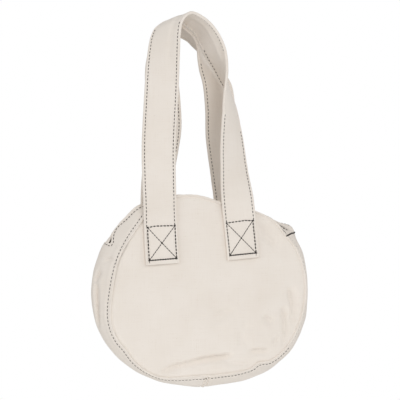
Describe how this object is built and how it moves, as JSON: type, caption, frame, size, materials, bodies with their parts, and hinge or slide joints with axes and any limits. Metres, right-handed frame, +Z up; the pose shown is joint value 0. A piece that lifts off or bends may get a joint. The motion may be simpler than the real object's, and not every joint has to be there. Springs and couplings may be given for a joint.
{
  "type": "round canvas shoulder bag",
  "caption": "Round canvas bag with a gusset, a slit mouth along the top and a pair of flat shoulder straps, shown hanging by its straps.",
  "frame": {"origin": "where the bag hangs: level with the top of the front strap's arch, midway between the two panels", "axes": "+X to the right as seen from the front, +Y from the front panel to the back panel, +Z up along the hanging bag"},
  "size_m": [0.2898, 0.0915, 0.4853],
  "materials": {
    "panel_canvas": "natural cotton canvas, plain weave",
    "gusset_canvas": "natural cotton canvas, plain weave",
    "strap_canvas": "natural cotton canvas, folded and edge stitched"
  },
  "bodies": {
    "root": {"front_panel": "panel_canvas", "back_panel": "panel_canvas", "gusset": "gusset_canvas", "front_mouth_strip": "gusset_canvas", "back_mouth_strip": "gusset_canvas", "front_strap": "strap_canvas", "back_strap": "strap_canvas"}
  },
  "joints": []
}
